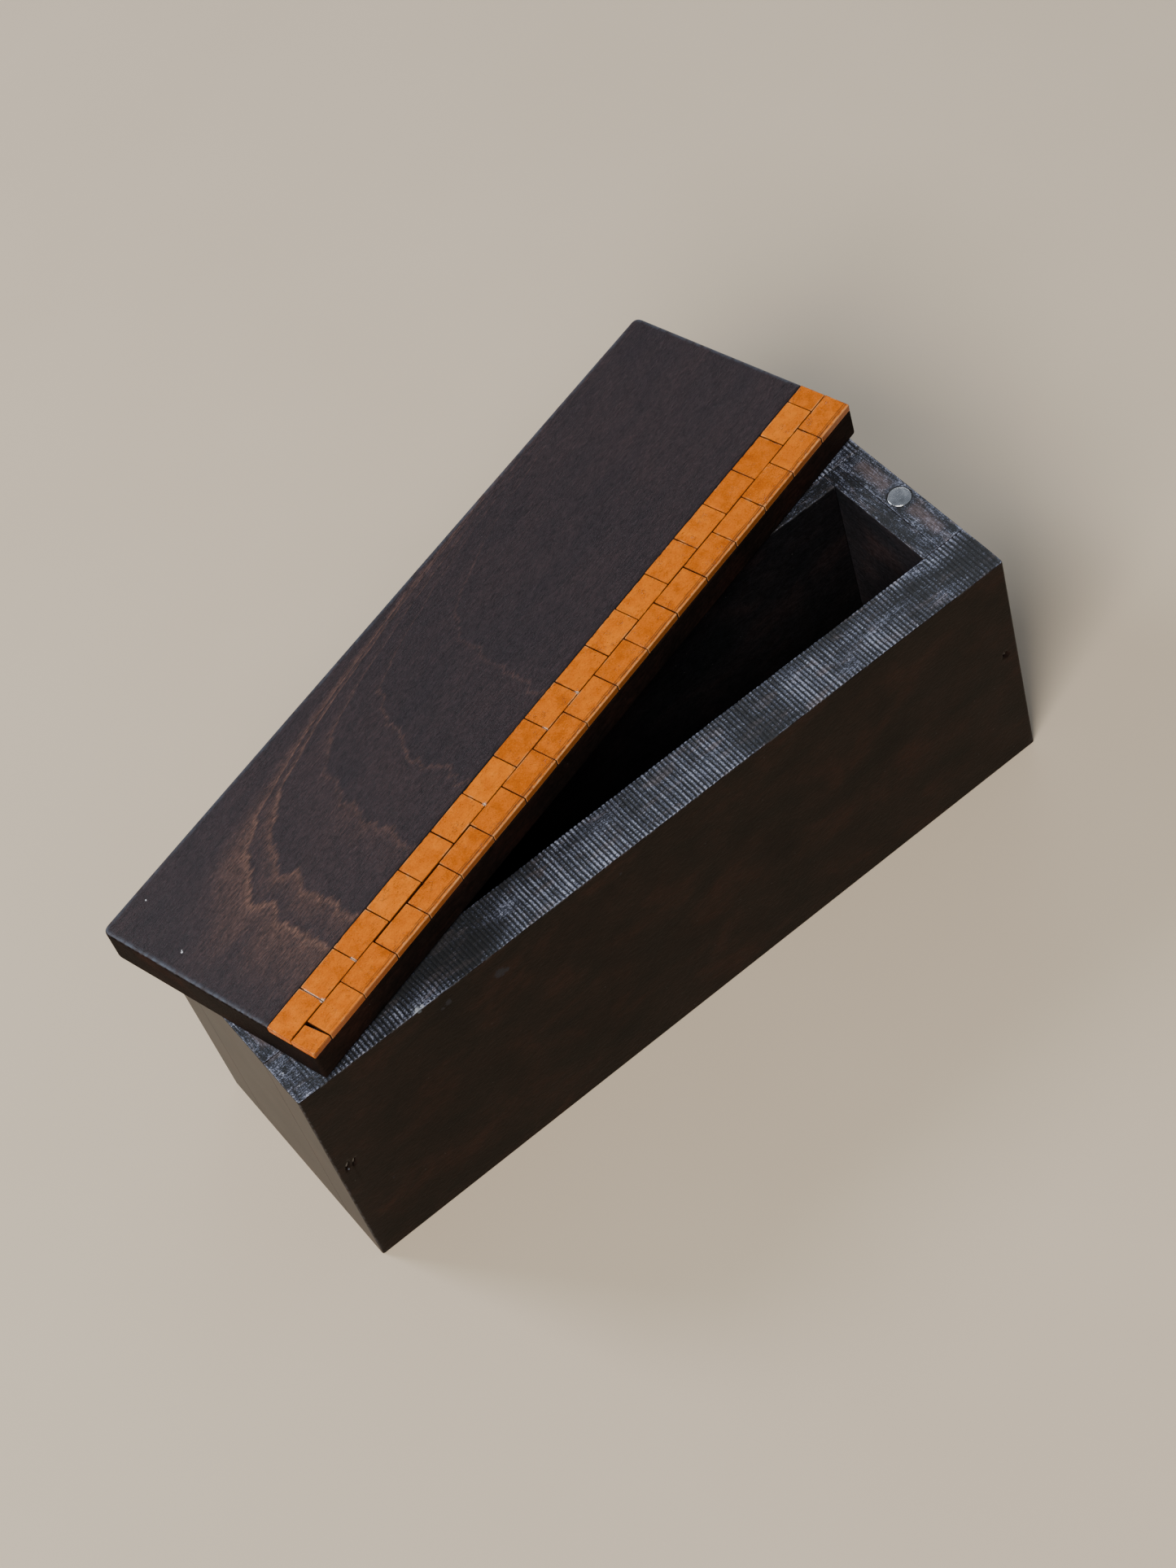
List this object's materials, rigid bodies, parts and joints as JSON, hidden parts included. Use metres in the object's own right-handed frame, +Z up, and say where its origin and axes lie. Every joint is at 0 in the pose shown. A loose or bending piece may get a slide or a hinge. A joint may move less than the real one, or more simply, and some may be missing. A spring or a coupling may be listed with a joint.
{
  "type": "wooden puzzle box",
  "caption": "Long narrow dark wooden box whose lid, edged with small orange bricks, swings sideways on a hidden pin and is held shut by magnets.",
  "frame": {"origin": "centre of the box's underside, on the surface it stands on", "axes": "+X along the box from the pivot end to the magnet end, +Y from the brick side to the plain side, +Z up"},
  "size_m": [0.1787, 0.0972, 0.0688],
  "materials": {
    "stained_wood": "satin dark brown-black stain, saw marks on the rims",
    "lid_wood": "satin dark brown-black stain over plain-sawn grain",
    "base_wood": "thin dark stain",
    "liner_wood": "matt near-black stain",
    "brick": "orange-brown stain under gloss varnish",
    "magnet": "nickel plated",
    "steel": "plain steel wire and rod"
  },
  "bodies": {
    "box": {"brick_side_wall": "stained_wood", "plain_side_wall": "stained_wood", "pivot_end_wall": "stained_wood", "magnet_end_wall": "stained_wood", "base_panel": "base_wood", "pivot_end_liner": "liner_wood", "magnet_end_liner": "liner_wood", "plain_side_liner": "liner_wood", "wall_brads": "steel", "box_magnet": "magnet"},
    "lid": {"lid_panel": "lid_wood", "pivot_pin": "steel", "lid_magnet": "magnet", "brick_outer_01": "brick", "brick_outer_02": "brick", "brick_outer_03": "brick", "brick_outer_04": "brick", "brick_outer_05": "brick", "brick_outer_06": "brick", "brick_outer_07": "brick", "brick_outer_08": "brick", "brick_outer_09": "brick", "brick_outer_10": "brick", "brick_outer_11": "brick", "brick_outer_12": "brick", "brick_outer_13": "brick", "brick_outer_14": "brick", "brick_outer_15": "brick", "brick_outer_16": "brick", "brick_outer_17": "brick", "brick_outer_18": "brick", "brick_inner_01": "brick", "brick_inner_02": "brick", "brick_inner_03": "brick", "brick_inner_04": "brick", "brick_inner_05": "brick", "brick_inner_06": "brick", "brick_inner_07": "brick", "brick_inner_08": "brick", "brick_inner_09": "brick", "brick_inner_10": "brick", "brick_inner_11": "brick", "brick_inner_12": "brick", "brick_inner_13": "brick", "brick_inner_14": "brick", "brick_inner_15": "brick", "brick_inner_16": "brick", "brick_inner_17": "brick", "brick_inner_18": "brick"}
  },
  "joints": [
    {"name": "lid_swing", "type": "hinge", "parent": "box", "child": "lid", "pos_m": [-0.08185, 0, 0.0603], "axis": [0, 0, 1], "range_deg": [-15.5, 74.5]}
  ]
}
